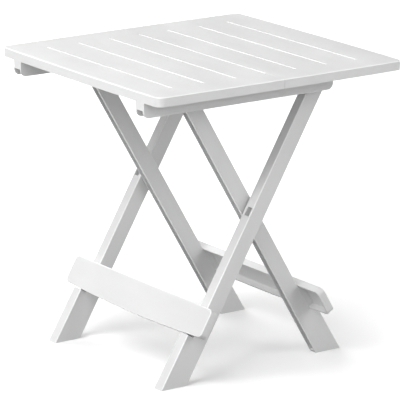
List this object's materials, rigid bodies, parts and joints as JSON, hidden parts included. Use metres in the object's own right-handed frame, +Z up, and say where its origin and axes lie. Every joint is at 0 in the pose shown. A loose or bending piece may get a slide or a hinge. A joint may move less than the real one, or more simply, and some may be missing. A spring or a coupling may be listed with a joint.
{
  "type": "folding side table",
  "caption": "Low folding side table with a slatted square top on crossed legs with foot boards, in moulded plastic.",
  "frame": {"origin": "on the floor, under the centre of the top", "axes": "+X across the slats, towards the hinge side; +Y along the slats, the groove direction; +Z up"},
  "size_m": [0.46, 0.44, 0.4735],
  "materials": {
    "top_plastic": "fine moulded grain, satin",
    "rail_plastic": "satin moulded",
    "leg_plastic": "fine moulded grain, satin",
    "board_plastic": "fine moulded grain, satin",
    "pin_plastic": "smooth",
    "coated_tube": "white powder coat",
    "zinc_steel": "zinc plated"
  },
  "bodies": {
    "outer_frame": {"leg_outer_front": "leg_plastic", "leg_outer_rear": "leg_plastic", "foot_board_outer": "board_plastic"},
    "inner_frame": {"leg_inner_front": "leg_plastic", "leg_inner_rear": "leg_plastic", "foot_board_inner": "board_plastic", "cross_bar": "coated_tube", "bar_cap_front": "pin_plastic", "bar_cap_rear": "pin_plastic", "bar_rivet_front": "zinc_steel", "bar_rivet_rear": "zinc_steel", "pivot_pin_front": "pin_plastic", "pivot_pin_rear": "pin_plastic", "pivot_clip_front": "zinc_steel", "pivot_clip_rear": "zinc_steel", "pivot_washer_front": "pin_plastic", "pivot_washer_rear": "pin_plastic"},
    "top": {"hinge_pin_front": "pin_plastic", "hinge_pin_rear": "pin_plastic", "hinge_clip_front": "zinc_steel", "hinge_clip_rear": "zinc_steel", "top_panel_left": "top_plastic", "top_panel_right": "top_plastic", "rail_front": "rail_plastic", "rail_rear": "rail_plastic", "rail_screws_front": "zinc_steel", "rail_screws_rear": "zinc_steel", "seam_dowels": "pin_plastic"}
  },
  "joints": [
    {"name": "leg_fold", "type": "hinge", "parent": "outer_frame", "child": "inner_frame", "pos_m": [-0.0035, 0, 0.2495], "axis": [0, 1, 0], "range_deg": [0, 55.5]},
    {"name": "top_swing", "type": "hinge", "parent": "outer_frame", "child": "top", "pos_m": [0.11166, 0, 0.445], "axis": [0, 1, 0], "range_deg": [0, 119]}
  ],
  "couplings": [
    {"joint": "top_swing", "follows": "leg_fold", "ratio": 2.14}
  ]
}
